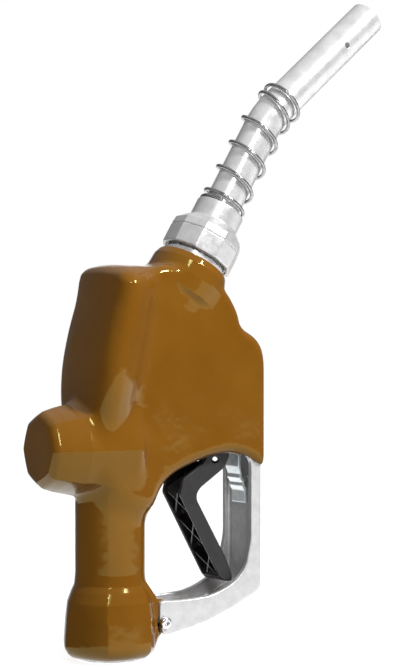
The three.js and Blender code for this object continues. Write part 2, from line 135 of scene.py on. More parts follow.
def flat(outline, x, z):
    """Distance to a closed outline in the XZ plane."""
    nearest = None
    inside = False
    for (ax, az), (bx, bz) in zip(outline, outline[1:] + outline[:1]):
        ex, ez = bx - ax, bz - az
        if ex * ex + ez * ez < 1e-9:
            continue
        t = np.clip(((x - ax) * ex + (z - az) * ez) / (ex * ex + ez * ez), 0, 1)
        d = (x - ax - ex * t) ** 2 + (z - az - ez * t) ** 2
        nearest = d if nearest is None else np.minimum(nearest, d)
        if ez:
            inside = inside ^ (((az > z) != (bz > z)) & (x < ax + ex * (z - az) / ez))
    return np.where(inside, -1, 1) * np.sqrt(nearest)


def both(a, b, edge):
    """Where a and b overlap, with the edge between them rounded to that radius."""
    a, b = a + edge, b + edge
    return np.minimum(np.maximum(a, b), 0) + np.hypot(np.maximum(a, 0), np.maximum(b, 0)) - edge


def weld(a, b, reach):
    """a joined to b, with a fillet that starts at about reach from the seam."""
    h = np.maximum(reach - np.abs(a - b), 0) / reach
    return np.minimum(a, b) - h * h * reach / 4


def carve(a, b, reach=0.6):
    """a without b, with its new edges softened."""
    return -weld(-a, b, reach)


def slab(outline, half, x, y, z, edge=0.5):
    """The outline, thick by half to each side of the middle plane."""
    return both(flat(outline, x, z), np.abs(y) - half, edge)


def rod(at, radius, low, high, x, y, z, edge=0.3):
    """A cylinder on the frame's own Z, from low to high."""
    u, w = into(at, x, z)
    return both(np.hypot(u, y) - radius, np.abs(w - (low + high) / 2) - (high - low) / 2, edge)


def cross_rod(at, radius, half, x, y, z, edge=0.3):
    """A cylinder across the nozzle at that place."""
    return both(np.hypot(x - at[0], z - at[1]) - radius, np.abs(y) - half, edge)


def revolved(at, stations, x, y, z, facets=0, softness=0.5, turned=0.0):
    """A turned form whose radius follows stations of (height, radius). Facets flatten it a little."""
    u, w = into(at, x, z)
    radius = np.hypot(u, y)
    if facets:
        step = 2 * math.pi / facets
        turn = np.arctan2(y, u) - turned
        flats = radius * np.cos((turn + step / 2) % step - step / 2)
        radius = radius * softness + flats * (1 - softness)
    heights, radii = zip(*stations)
    return radius - np.interp(w, heights, radii)


# ---------- meshes ----------
def at_corner(grid, corner):
    """The grid's value at that corner of each of its cells."""
    return grid[tuple(slice(n, grid.shape[d] - 1 + n) for d, n in enumerate(corner))]


def net(shape, low, high, step):
    """Points and quads of the surface where shape is zero: one point in each cell that it crosses."""
    axes = [np.arange(a, b + step, step) for a, b in zip(low, high)]
    field = np.broadcast_to(shape(*np.ix_(*axes)), [len(a) for a in axes])
    inside = field < 0
    corners = [(i, j, k) for i in (0, 1) for j in (0, 1) for k in (0, 1)]
    count = sum(at_corner(inside, c).astype(np.int8) for c in corners)
    cells = np.argwhere((count > 0) & (count < 8))
    number = np.full(count.shape, -1)
    number[tuple(cells.T)] = np.arange(len(cells))
    total = np.zeros((len(cells), 3))
    hits = np.zeros((len(cells), 1))
    for d in range(3):
        for a in [c for c in corners if not c[d]]:
            b = tuple(n + (e == d) for e, n in enumerate(a))
            va, vb = (field[tuple((cells + c).T)] for c in (a, b))
            crossed = (va < 0) != (vb < 0)
            where = np.tile(np.array(a, float), (len(cells), 1))
            where[:, d] += np.where(crossed, va / np.where(crossed, va - vb, 1), 0)
            total += where * crossed[:, None]
            hits += crossed[:, None]
    points = np.array(low) + (cells + total / hits) * step
    quads = []
    for d in range(3):
        e, f = (d + 1) % 3, (d + 2) % 3
        first = [slice(1, -1)] * 3
        first[d] = slice(0, -1)
        second = list(first)
        second[d] = slice(1, None)
        change = inside[tuple(first)].astype(np.int8) - inside[tuple(second)]
        edges = np.argwhere(change)
        signs = change[tuple(edges.T)]
        edges[:, [e, f]] += 1
        back_e, back_f = np.eye(3, dtype=int)[[e, f]]
        ring = [edges - back_e - back_f, edges - back_f, edges, edges - back_e]
        loop = np.stack([number[tuple(r.T)] for r in ring], 1)
        quads.append(np.where(signs[:, None] > 0, loop, loop[:, ::-1]))
    return points, np.concatenate(quads)


def slope(shape, points, reach=0.05):
    """The direction in which the field grows at each point, not scaled to length one."""
    made = np.zeros_like(points)
    for d in range(3):
        nudge = np.eye(3)[d] * reach
        made[:, d] = (shape(*(points + nudge).T) - shape(*(points - nudge).T)) / (2 * reach)
    return made


def settle(shape, points, step):
    """Points moved onto the surface, and the surface's direction at each."""
    for _ in range(3):
        grad = slope(shape, points)
        size = np.maximum((grad**2).sum(1), 0.05)
        move = -grad * (shape(*points.T) / size)[:, None]
        points = points + np.clip(move, -step / 2, step / 2)
    return points, slope(shape, points)


def make_object(name, points, faces, normals=None):
    """A smooth mesh object from points in millimetres, with its shading normals if they are given."""
    mesh = bpy.data.meshes.new(name)
    mesh.from_pydata((np.asarray(points, float) * MM).tolist(), [], [list(f) for f in faces])
    mesh.validate()
    mesh.shade_smooth()
    if normals is not None:
        length = np.linalg.norm(normals, axis=1, keepdims=True)
        mesh.normals_split_custom_set_from_vertices((normals / np.maximum(length, 1e-9)).tolist())
    made = bpy.data.objects.new(name, mesh)
    bpy.context.scene.collection.objects.link(made)
    return made


def place(made, body, slot, material, *nodes):
    """Gives a piece its material and its body, and hides the CAD nodes that it stands for."""
    made.data.materials.append(material)
    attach(made, body)
    if nodes:
        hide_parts(*nodes)
    return made


def grown(name, shape, low, high, step):
    """An object with the surface of shape inside that box."""
    points, faces = net(shape, low, high, step)
    points, normals = settle(shape, points, step)
    return make_object(name, points, faces, normals)


def box_of(node, margin=2.0):
    """A CAD node's box in millimetres, with a margin round it."""
    low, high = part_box(node)
    return [a / MM - margin for a in low], [a / MM + margin for a in high]


def swept(centres, radius, sides=12):
    """Points and faces of a wire of that radius along the centres, closed at both ends."""
    centres = np.asarray(centres, float)
    along = np.gradient(centres, axis=0)
    along /= np.linalg.norm(along, axis=1, keepdims=True)
    side = np.cross(along[0], [0, 0, 1.0]) if abs(along[0][2]) < 0.9 else np.cross(along[0], [0, 1.0, 0])
    points, faces = [], []
    turns = np.arange(sides) * 2 * math.pi / sides
    for centre, tangent in zip(centres, along):
        side = side - tangent * (side @ tangent)
        side /= np.linalg.norm(side)
        other = np.cross(tangent, side)
        points += [centre + radius * (math.cos(a) * side + math.sin(a) * other) for a in turns]
    for i in range(len(centres) - 1):
        for j in range(sides):
            k = (j + 1) % sides
            a, b = i * sides, (i + 1) * sides
            faces.append((a + j, a + k, b + k, b + j))
    last = (len(centres) - 1) * sides
    faces.append(tuple(range(sides))[::-1])
    faces.append(tuple(range(last, last + sides)))
    return points, faces


# ---------- the body's own shape ----------
BODY_OUTLINE = [
    (-15, 100), (-2, 84), (16, 80), (22, 91), (29.5, 97.8), (40, 102.4), (54, 107), (67, 108.6), (78, 105.5),
    (89.5, 97.5), (89.5, 163), (84, 172), (73.5, 177), (72, 186), (62, 201), (34, 212), (16, 210), (0, 196),
    (-10, 160),
]
BODY_FILLET = 9
LOBE_OUTLINE = [
    (-10.6, 116), (-10.6, 136), (-9.9, 147), (-8.4, 160), (-5, 175), (-0.4, 190), (1.8, 207), (13, 207),
    (13, 195), (10, 180), (5, 160), (0, 138), (-2, 116),
]
LOBE_FILLET = 7
LOBE_INSET = 7  # its outline is drawn this far inside its faces
LOBE_HALF = 31
LOBE_ROUND = 10
CHIN_TUCK = 16  # how much narrower each half of it is at its foot
CHIN_FROM = 112  # the height of that foot
CHIN_HEIGHT = 44  # over which it widens
CHIN_CURVE = 2.2
LOBE_TOP = 213.2
LOBE_LEAN = 0.16  # how fast its top falls toward the spout
LOBE_CROWN = 0.005  # how fast its top falls away to each side, per mm
SLANT = math.radians(40)  # how its sides lean in to meet the body
SLANT_AT = ((138, 160, 175, 193), (-9, -5, -1.5, 1))  # heights, and where the slant starts at each
SLANT_BLEND = 8
LOBE_BOW = 0.003  # how fast its rear face falls away to each side, per mm
LOBE_BOW_OUT = 2.6  # how far the middle of that face stands out
LOBE_CREST = 8  # its highest line is this far along Y from the middle plane
CAVITY = [  # where the lever moves
    (20.3, 60), (20.3, 98.5), (25, 104.5), (37.5, 109.8), (43.5, 112.5), (43.5, 155.5), (75.8, 155.5),
    (75.8, 138), (77.2, 128), (77.2, 60),
]
POCKET = [(74.5, 60), (74.5, 128.5), (87.45, 128.5), (87.45, 60)]  # where the guard goes in
RISER = [  # the way for fuel from the main valve to the neck
    (16.8, 102.5), (18.2, 102.5), (19.5, 109), (27.5, 109.2), (30, 120), (31, 150), (36, 165), (50, 188),
    (52, 197), (40, 203), (28, 190), (16.8, 150),
]
LUG_OUTLINE = [(10, 9), (24, 9.5), (29, 14), (32, 15.5), (32, 28), (27, 30.5), (10, 33)]
LUG_HALF = 10.7
CHEEK_OUTLINE = [(8, 8), (19, 8.5), (22, 11), (22.1, 27), (20.5, 33), (15, 40), (8, 42)]
CHEEK_HALF = 14.8
PIN_LUG = [(77.4, 117.5), (83.7, 117.5), (83.7, 140), (77.4, 140)]
PIN_LUG_HALF = 11
BELL_TURN = math.radians(-92)  # where its flats face
BELL_SOFTNESS = ((24, 42), (0.55, 0.85))  # heights, and how round the flats are at each
GRIP_FOOT = 0.6  # where the cover starts, above the hose end
GRIP_TOP = 118
STUB_TURN = math.radians(22.5)
STUB_ROOT = 8
NECK_TOP = -3.7
NECK_ROOT = -36
NECK_STATIONS = [(-40, 16), (-27, 18.4), (-23.5, 21.3), (-15, 22.2), (-8, 21.8), (NECK_TOP, 20.3)]


def grip(x, y, z):
    """The handle. Its wider end, where the hose goes in, has six soft flats."""
    stations = [
        (0, BELL_R + 0.2), (10, BELL_R + 0.2), (22, BELL_R - 0.4), (31, BELL_R - 1.4), (36.5, GRIP_R + 2.2),
        (40, GRIP_R + 0.5), (46, GRIP_R), (120, GRIP_R),
    ]
    softness = np.interp(z, *BELL_SOFTNESS)
    side = revolved(GRIP_FRAME, stations, x, y, z, facets=6, softness=softness, turned=BELL_TURN)
    return both(both(side, GRIP_FOOT - z, edge=8), z - GRIP_TOP, edge=5)


def stub(x, y, z):
    """The blunt end over the main valve's cap, with eight soft flats."""
    stations = [(-STUB_ROOT, 23.6), (24, 23.2), (34, 21.2), (STUB_LENGTH, 18.5)]
    side = revolved(MAIN_FRAME, stations, x, y, z, facets=8, softness=0.3, turned=STUB_TURN)
    return both(both(side, -x - STUB_LENGTH, edge=4), x - STUB_ROOT, edge=4)


def lobe(x, y, z):
    """The hump over the vacuum cap."""
    bowed = x - LOBE_BOW * y**2 + LOBE_BOW_OUT
    side = flat(fillet(LOBE_OUTLINE, LOBE_FILLET), bowed, z) - LOBE_INSET
    risen = np.clip((z - CHIN_FROM) / CHIN_HEIGHT, 0, 1)
    wide = np.abs(y) - LOBE_HALF + CHIN_TUCK * (1 - risen) ** CHIN_CURVE
    slant = wide * math.cos(SLANT) + (x - np.interp(z, *SLANT_AT)) * math.sin(SLANT)
    block = both(side, -weld(-wide, -slant, SLANT_BLEND), edge=LOBE_ROUND)
    top = z + LOBE_CROWN * (y - LOBE_CREST) ** 2 + LOBE_LEAN * x - LOBE_TOP
    return both(block, top, edge=8)


def neck(x, y, z):
    """The collar of vinyl below the spout nut."""
    side = revolved(SPOUT_FRAME, NECK_STATIONS, x, y, z)
    _, w = into(SPOUT_FRAME, x, z)
    return both(both(side, w - NECK_TOP, edge=1.2), NECK_ROOT - w, edge=6)


def outside(x, y, z):
    """The outer face of the cover, without the guard's lug."""
    body = slab(fillet(BODY_OUTLINE, BODY_FILLET), BODY_HALF, x, y, z, edge=5.5)
    made = weld(grip(x, y, z), body, reach=12)
    made = weld(made, lobe(x, y, z), reach=12)
    made = weld(made, stub(x, y, z), reach=6)
    return weld(made, neck(x, y, z), reach=2.5)


def lug(x, y, z, inset=0.0):
    """The foot that the guard is screwed to, with a cheek that covers the guard's end."""
    cheek = slab(CHEEK_OUTLINE, CHEEK_HALF, x, y, z, edge=1.5)
    foot = slab(LUG_OUTLINE, LUG_HALF, x, y, z, edge=2)
    return weld(foot, cheek, reach=1) + inset


def cover(x, y, z):
    """The vinyl: a skin open for the hose, the neck, the lever, the guard and its screws."""
    skin = weld(outside(x, y, z), lug(x, y, z), reach=3)
    shell = np.maximum(skin, -(skin + SKIN))
    openings = [
        rod(SPOUT_FRAME, COLLAR_R + GAP, -8, 20, x, y, z),
        rod(GRIP_FRAME, MOUTH_R, -5, 6, x, y, z),
        slab(CAVITY, CAVITY_HALF, x, y, z),
        slab(POCKET, POCKET_HALF, x, y, z),
    ]
    for opening in openings:
        shell = carve(shell, opening, reach=1)
    return carve(shell, cross_rod(SCREW_AT, SCREW_SEAT_R, THROUGH, x, y, z))


# Each of these is a frame, a radius, and where it starts and ends along the frame's own Z.
COLLAR_STEPS = [(SPOUT_FRAME, COLLAR_R, -12, -0.6), (SPOUT_FRAME, 16.4, -8, 9)]
CASTING_BOSSES = [
    (PLUNGER_FRAME, 9, 24, 60),  # the plunger's tube
    (MAIN_FRAME, 7, -36, -24),  # round the stem's packing
]
CASTING_BORES = [
    (PLUNGER_FRAME, 4.8, -10, 25),  # the plunger's rod
    (PLUNGER_FRAME, 6.5, 24, 47),  # its body
    (PLUNGER_FRAME, 7.2, 46, 62),  # its latch
    (PLUNGER_FRAME, 22, 60, 68),  # under the diaphragm
    (PLUNGER_FRAME, 26.6, 66, 100),  # over it
    (MAIN_FRAME, 3.4, -46, -10),  # the stem
    (MAIN_FRAME, 5.6, -46, -31),  # its packing
    (MAIN_FRAME, 6.5, -46, -35.2),  # the packing nut
]


def casting(x, y, z):
    """The metal body that fills the cover, with its passages and bores."""
    inset = SKIN + GAP
    rim = rod(GRIP_FRAME, INLET_R + INLET_RIM, 0, 12, x, y, z)
    made = weld(outside(x, y, z) + inset, rim, reach=1)
    made = weld(made, lug(x, y, z, inset), reach=2)
    made = np.minimum(made, weld(*(rod(*step, x, y, z) for step in COLLAR_STEPS), reach=0.5))
    hollows = [
        rod(GRIP_FRAME, PASSAGE_R, -5, 112, x, y, z),
        rod(GRIP_FRAME, INLET_R, -5, 20, x, y, z),
        rod(MAIN_FRAME, VALVE_R, -SEAT_X, 60, x, y, z),
        slab(RISER, RISER_HALF, x, y, z),
        rod(SPOUT_FRAME, ADAPTER_R, -18, 20, x, y, z),
        slab(CAVITY, CAVITY_HALF, x, y, z),
        slab(POCKET, POCKET_HALF, x, y, z),
    ]
    for hollow in hollows:
        made = carve(made, hollow)
    made = np.minimum(made, slab(PIN_LUG, PIN_LUG_HALF, x, y, z))
    for boss in CASTING_BOSSES:
        made = np.minimum(made, rod(*boss, x, y, z))
    for bore in CASTING_BORES:
        made = carve(made, rod(*bore, x, y, z))
    for at, radius in ((TOP_PIN_AT, TOP_PIN_HOLE), (SCREW_AT, SCREW_HOLE)):
        made = carve(made, cross_rod(at, radius, THROUGH, x, y, z))
    return made


# ---------- the guard ----------
GUARD_WALL = 3.4
GUARD_OUTER = [
    (76, 127), (76, 109), (81, 103.5), (81, 61), (77.8, 46.2), (74, 40.5), (68.8, 36.6), (61, 33),
    (52.9, 30.7), (38, 29.7), (22.4, 30.4), (22.4, 20), (24.5, 11.5), (40, 14.3), (53.6, 17.7), (70, 24),
    (87.3, 32.5), (87.3, 127),
]
GUARD_CHANNEL = [
    (70, 130), (70, 60), (50, 40), (10, 40), (10, 5), (33.5, 5), (33.5, 16.3), (40, 17.7), (53.6, 21.1),
    (70, 27.4), (83.9, 34.4), (83.9, 130),
]


def guard(x, y, z):
    """A bar of channel section, open towards the hand."""
    made = slab(fillet(GUARD_OUTER, 3), GUARD_HALF, x, y, z, edge=0.8)
    channel = slab(fillet(GUARD_CHANNEL, 4), GUARD_HALF - GUARD_WALL, x, y, z, edge=1.5)
    made = carve(made, channel, reach=0.8)
    for at, radius in ((TOP_PIN_AT, TOP_PIN_HOLE), (CLIP_PIN_AT, CLIP_PIN_HOLE), (SCREW_AT, SCREW_HOLE)):
        made = carve(made, cross_rod(at, radius, THROUGH, x, y, z))
    return made


# ---------- the lever ----------
LEVER_WALL = 2
LEVER_OUTLINE = [
    (38, 86.5), (63.6, 39.9), (66, 37.5), (71.5, 37), (71.8, 40.5), (67.7, 50.2), (48.9, 83), (49, 86.5),
    (51.3, 89.5), (66.6, 99.8), (69.6, 105), (71, 112), (70.5, 130), (68.8, 147), (66.8, 152), (62, 154),
    (57.2, 152), (55.2, 147), (55, 106.5), (52.5, 103), (39.8, 94.5),
]
LEVER_HOLLOW = [
    (30, 96), (30, 60), (60, 30), (64.5, 41), (66, 48), (46.9, 82), (46.8, 87), (50, 91.2), (64.5, 101),
    (66.5, 104.5), (50, 104.5), (46, 108),
]
LEVER_PIVOT_R = 2.8
LEVER_HOLE_AT = (60.9, 104.4)
LEVER_HOLE_R = 1.8
SIGHT_R = 1.5  # of the hole seen through the lever
LEVER_FORK = [(50, 120), (75, 120), (75, 160), (50, 160)]
LEVER_FACE = turned_frame((38, 86.5), math.degrees(math.atan2(25.6, -46.6)))  # its Z runs down the open face
RIB_PITCH = 21
RIB_LEAN = 1.05
RIB_HALF = 0.6
RIB_PHASE = 5
RIB_SET_BACK = 1.2  # how far inside the lever's outline they end


def ribs(x, y, z):
    """Crossing ribs inside the lever's open face."""
    _, along = into(LEVER_FACE, x, z)
    walls = []
    for side in (-1, 1):
        offset = (along + side * RIB_LEAN * y + RIB_PHASE) % RIB_PITCH - RIB_PITCH / 2
        walls.append(np.abs(offset) / math.hypot(1, RIB_LEAN) - RIB_HALF)
    made = np.maximum(np.minimum(*walls), np.abs(y) - LEVER_HALF + LEVER_WALL / 2)
    return np.maximum(np.maximum(made, flat(LEVER_OUTLINE, x, z) + RIB_SET_BACK), -along - 2)


def sight(x, y, z):
    """A level hole through the lever's side wall and web, turned to face the camera."""
    middle = LEVER_HOLE_AT[0] - 0.6 + (y + LEVER_HALF) * math.tan(CAMERA_TURN)
    across = (x - middle) * math.cos(CAMERA_TURN)
    return np.maximum(np.hypot(across, z - LEVER_HOLE_AT[1]) - SIGHT_R, -y - 2 * LEVER_HALF)


def lever(x, y, z):
    """A moulded shell, hollow towards the grip, with a fork at its top end."""
    inner = LEVER_HALF - LEVER_WALL
    made = slab(fillet(LEVER_OUTLINE, 1.4), LEVER_HALF, x, y, z, edge=0.8)
    made = carve(made, slab(LEVER_HOLLOW, inner, x, y, z))
    made = np.minimum(made, ribs(x, y, z))
    made = carve(made, slab(LEVER_FORK, inner, x, y, z))
    made = carve(made, cross_rod(PIVOT, LEVER_PIVOT_R, THROUGH, x, y, z))
    made = carve(made, cross_rod(LEVER_HOLE_AT, LEVER_HOLE_R, THROUGH, x, y, z))
    return carve(made, sight(x, y, z))


# ---------- the spout end ----------
NUT_R = 20
NUT_TOP = 20.6  # of its faceted part
NUT_NECK_R = 13.9
NUT_HEIGHT = 32.4
NUT_STATIONS = [(-1, NUT_R), (12, NUT_R), (16.2, NUT_R - 0.5), (17.4, NUT_R - 1.8), (21, NUT_NECK_R + 1)]
NUT_BORES = [(18.1, -2, 0.9), (16.8, -2, 12.4), (10.7, 10, 40)]  # radius, and where each starts and ends
SEAM_AT = 11.6
SEAM_HALF = 0.35
SEAM_DEPTH = 0.45
SPOUT_R = 10.3
SPOUT_BORE = 9.1
SPOUT_START = 4
SPOUT_BEND = math.radians(18)
SPOUT_BEND_R = 60
BEND_FROM = 85
BEND_TO = BEND_FROM + SPOUT_BEND_R * SPOUT_BEND
SPOUT_LENGTH = BEND_TO + 84
SPOUT_STEP = 0.6
VENT_S = SPOUT_LENGTH - 28.6  # the vent hole's place along the spout
VENT_R = 1.6


def nut(x, y, z):
    """The clamp nut: ten facets, a seam round it, and a plain neck."""
    _, w = into(SPOUT_FRAME, x, z)
    ring = revolved(SPOUT_FRAME, NUT_STATIONS, x, y, z, facets=10, softness=0.2)
    seam = np.maximum(np.abs(w - SEAM_AT) - SEAM_HALF, -SEAM_DEPTH - ring)
    ring = both(both(ring, -w, edge=1), w - NUT_TOP, edge=0.6)
    made = carve(ring, seam, reach=0.3)
    made = weld(made, rod(SPOUT_FRAME, NUT_NECK_R, 12, NUT_HEIGHT, x, y, z, edge=0.9), reach=2)
    for bore in NUT_BORES:
        made = carve(made, rod(SPOUT_FRAME, *bore, x, y, z), reach=0.5)
    return made


def on_spout(s, u, v):
    """Row-frame points at distance s along the spout's line and moved by u and v in the section there."""
    tilt = np.clip((s - BEND_FROM) / SPOUT_BEND_R, 0, SPOUT_BEND)
    before = np.minimum(s, BEND_FROM)
    after = np.maximum(0, s - BEND_TO)
    across = SPOUT_BEND_R * (1 - np.cos(tilt)) + after * np.sin(tilt) + u * np.cos(tilt)
    along = before + SPOUT_BEND_R * np.sin(tilt) + after * np.cos(tilt) - u * np.sin(tilt)
    x, z = out_of(SPOUT_FRAME, across, along)
    return np.stack([x, v + 0 * x, z], -1)


def straight_spout(u, v, s):
    """The spout before it is bent: a tube with a vent hole on its -Y side."""
    radius = np.hypot(u, v)
    wall = both(radius - SPOUT_R, SPOUT_BORE - radius, edge=0.4)
    ends = np.abs(s - (SPOUT_START + SPOUT_LENGTH) / 2) - (SPOUT_LENGTH - SPOUT_START) / 2
    vent = np.maximum(np.hypot(u, s - VENT_S) - VENT_R, v)
    return carve(both(wall, ends, edge=0.4), vent, reach=0.4)


def make_spout():
    """The straight tube's mesh, carried point by point onto the spout's bent line."""
    reach = SPOUT_R + 2
    low = (-reach, -reach, SPOUT_START - 2)
    high = (reach, reach, SPOUT_LENGTH + 2)
    points, faces = net(straight_spout, low, high, SPOUT_STEP)
    points, normals = settle(straight_spout, points, SPOUT_STEP)
    bent, ahead = (on_spout(p[:, 2], p[:, 0], p[:, 1]) for p in (points, points + normals * 0.01))
    return make_object("spout_tube", bent, faces, ahead - bent)


SPRING_R = 12.4
SPRING_WIRE = 1
SPRING_LOW = 33.6
SPRING_TURNS = 6.3
SPRING_PHASE = 0.34
CLOSED_PITCH = 2.2
OPEN_PITCH = 16.3
OPENS = (0.7, 1.5)  # turns over which the closed end opens out
CLOSES = (4.9, 5.9)  # and over which it closes up again


def ramp_sum(turn, span):
    """The integral of a ramp that climbs from 0 to 1 between two turns."""
    low, high = span
    inside = np.clip(turn - low, 0, high - low)
    return inside**2 / (2 * (high - low)) + np.maximum(turn - high, 0)


def make_spout_spring():
    """A wire coil with closed ends that follows the spout's bend."""
    turn = np.linspace(0, SPRING_TURNS, 420)
    opened = ramp_sum(turn, OPENS) - ramp_sum(turn, CLOSES)
    s = SPRING_LOW + CLOSED_PITCH * turn + (OPEN_PITCH - CLOSED_PITCH) * opened
    a = 2 * math.pi * (turn + SPRING_PHASE)
    points, faces = swept(on_spout(s, SPRING_R * np.cos(a), -SPRING_R * np.sin(a)), SPRING_WIRE, 14)
    return make_object("spout_wire", points, faces)


# ---------- clip, pins and screws ----------
CLIP_HALF = 6.5
CLIP_EYE_R = 2.9
CLIP_LEAF = [
    (78.2, 112), (77.6, 100), (79, 95.5), (78.6, 93.5), (80.6, 91), (80.2, 89), (81.8, 86.5), (82, 79.5),
    (83.4, 79.5), (83.4, 87.5), (81.9, 90), (82.1, 92), (80.2, 94), (80.4, 96), (79.4, 100.5), (80.4, 112),
]
WIRE_R = 0.4
WOUND_R = 2.6
WOUND_FROM = -7.4  # where its coil starts, across the nozzle
WOUND_WIDTH = 2.88
WOUND_TURNS = 3
WIRE_FOOT = (1.6, -2.9, -18)  # the free end of its leg, from the pin at the coil's start
SHANK_R = 2
SHANK_FROM = 5
SHANK_TO = 15.5
SCREW_HEAD_R = 3.2
HEAD_FROM = 15.3
HEAD_TO = 17.9
SOCKET_HALF = 1.3  # from the middle of its hexagonal socket to a flat
SOCKET_FROM = 16.4


def clip(x, y, z):
    """A folded leaf that hangs from an eye on its pin."""
    leaf = slab(fillet(CLIP_LEAF, 0.6), CLIP_HALF, x, y, z, edge=0.3)
    made = weld(leaf, cross_rod(CLIP_PIN_AT, CLIP_EYE_R, CLIP_HALF, x, y, z), reach=1)
    return carve(made, cross_rod(CLIP_PIN_AT, CLIP_PIN_HOLE, THROUGH, x, y, z))


def make_clip_spring():
    """A few turns of wire round the clip's pin, with one leg down the guard."""
    x, z = CLIP_PIN_AT
    turn = np.linspace(0, WOUND_TURNS, 90)
    a = 2 * math.pi * turn
    across = WOUND_FROM - turn / WOUND_TURNS * WOUND_WIDTH
    wound = np.stack([x + WOUND_R * np.cos(a), across, z + WOUND_R * np.sin(a)], -1)
    foot = np.array([x, WOUND_FROM, z]) + WIRE_FOOT
    leg = wound[-1] + np.linspace(0.04, 1, 24)[:, None] * (foot - wound[-1])
    points, faces = swept(np.concatenate([wound, leg]), WIRE_R, 10)
    return make_object("clip_wire", points, faces)


def pan_screw(side):
    """A pan-head screw with a hexagonal socket, on that side of the nozzle."""
    def shape(x, y, z):
        out = y * side
        shank = np.maximum(cross_rod(SCREW_AT, SHANK_R, SHANK_TO, x, y, z), SHANK_FROM - out)
        across, up = x - SCREW_AT[0], z - SCREW_AT[1]
        radius = np.hypot(across, up)
        head = both(both(radius - SCREW_HEAD_R, out - HEAD_TO, edge=1.4), HEAD_FROM - out, edge=0.2)
        hexagon = radius * np.cos(np.arctan2(up, across) % (math.pi / 3) - math.pi / 6)
        socket = np.maximum(hexagon - SOCKET_HALF, SOCKET_FROM - out)
        return carve(np.minimum(shank, head), socket, reach=0.2)
    return shape


def pin(at, radius, half):
    """A plain pin across the nozzle."""
    def shape(x, y, z):
        return cross_rod(at, radius, half, x, y, z, edge=0.35)
    return shape


# ---------- materials ----------
class Look:
    """A Principled material with procedural detail in the object's own coordinates."""

    def __init__(self, name, **values):
        self.material = bpy.data.materials.new(name)
        self.material.use_nodes = True
        self.nodes = self.material.node_tree.nodes
        self.links = self.material.node_tree.links
        self.shader = self.nodes["Principled BSDF"]
        self.place = self.nodes.new("ShaderNodeTexCoord").outputs["Object"]
        self.last_bump = None
        for socket, value in values.items():
            self.shader.inputs[socket.replace("_", " ")].default_value = value

    def noise(self, size, detail=3, rough=0.5, stretch=(1, 1, 1), warp=0.0):
        """Noise with features of about that size in millimetres."""
        mapping = self.nodes.new("ShaderNodeMapping")
        mapping.inputs["Scale"].default_value = stretch
        self.links.new(self.place, mapping.inputs["Vector"])
        made = self.nodes.new("ShaderNodeTexNoise")
        made.inputs["Scale"].default_value = 1 / (size * MM)
        made.inputs["Detail"].default_value = detail
        made.inputs["Roughness"].default_value = rough
        made.inputs["Distortion"].default_value = warp
        self.links.new(mapping.outputs["Vector"], made.inputs["Vector"])
        return made.outputs["Fac"]

    def cells(self, size):
        """Distance to the nearest of scattered points about that far apart."""
        made = self.nodes.new("ShaderNodeTexVoronoi")
        made.inputs["Scale"].default_value = 1 / (size * MM)
        self.links.new(self.place, made.inputs["Vector"])
        return made.outputs["Distance"]

    def colour(self, source, stops):
        """A colour ramp over source, through stops of (place, colour)."""
        ramp = self.nodes.new("ShaderNodeValToRGB")
        elements = ramp.color_ramp.elements
        for _ in stops[2:]:
            elements.new(0.5)
        for element, (at, rgb) in zip(elements, stops):
            element.position = at
            element.color = (*rgb, 1)
        self.links.new(source, ramp.inputs["Fac"])
        return ramp.outputs["Color"]

    def blended(self, base, source, rgb):
        """base with a flat colour over it where source is high."""
        mix = self.nodes.new("ShaderNodeMix")
        mix.data_type = "RGBA"
        self.links.new(source, mix.inputs["Factor"])
        self.links.new(base, mix.inputs["A"])
        mix.inputs["B"].default_value = (*rgb, 1)
        return mix.outputs["Result"]

    def span(self, source, low, high, start=0.3, end=0.7):
        """low to high as source goes from start to end."""
        made = self.nodes.new("ShaderNodeMapRange")
        for socket, value in (("From Min", start), ("From Max", end), ("To Min", low), ("To Max", high)):
            made.inputs[socket].default_value = value
        self.links.new(source, made.inputs["Value"])
        return made.outputs["Result"]

    def paint(self, output):
        """Takes the base colour from output."""
        self.links.new(output, self.shader.inputs["Base Color"])

    def rough(self, output):
        """Takes the roughness from output."""
        self.links.new(output, self.shader.inputs["Roughness"])

    def bump(self, source, height, strength=1.0):
        """Relief of that height in millimetres, added to any before it."""
        made = self.nodes.new("ShaderNodeBump")
        made.inputs["Strength"].default_value = strength
        made.inputs["Distance"].default_value = height * MM
        self.links.new(source, made.inputs["Height"])
        if self.last_bump:
            self.links.new(self.last_bump, made.inputs["Normal"])
        self.last_bump = made.outputs["Normal"]
        self.links.new(self.last_bump, self.shader.inputs["Normal"])


def vinyl():
    """Thick glossy dipped vinyl, a little uneven, with slight scuffs."""
    look = Look("vinyl", IOR=1.5, Specular_IOR_Level=0.3, Specular_Tint=(1, 1, 0.4, 1))
    stops = [(0.3, (0.195, 0.074, 0.005)), (0.7, (0.225, 0.09, 0.008))]
    tone = look.colour(look.noise(34, 2, warp=0.4), stops)
    look.paint(look.blended(tone, look.span(look.noise(2.2, 4), 0, 0.15, 0.55, 0.8), (0.27, 0.12, 0.02)))
    look.rough(look.span(look.noise(9, 4), 0.05, 0.12))
    look.bump(look.noise(24, 1), 1.2, 0.5)
    look.bump(look.noise(7, 1), 0.25, 0.5)
    look.bump(look.noise(1.2, 3), 0.01, 0.5)
    return look.material


def cast_metal(name, low, high, grain=1.0):
    """Cast aluminium, tumbled bright, with a fine grain and a few pits."""
    look = Look(name, Metallic=0.45)
    tone = look.colour(look.noise(5, 5, 0.6), [(0.35, low), (0.65, high)])
    pits = look.span(look.cells(2.6), 1, 0, 0.05, 0.16)
    look.paint(look.blended(tone, look.span(pits, 0, 0.5, 0.5, 1), tuple(0.45 * c for c in low)))
    look.rough(look.span(look.noise(2.5, 4), 0.3, 0.4))
    look.bump(look.noise(0.5 * grain, 3), 0.05, 0.6)
    look.bump(look.noise(6, 2), 0.25, 0.35)
    return look.material


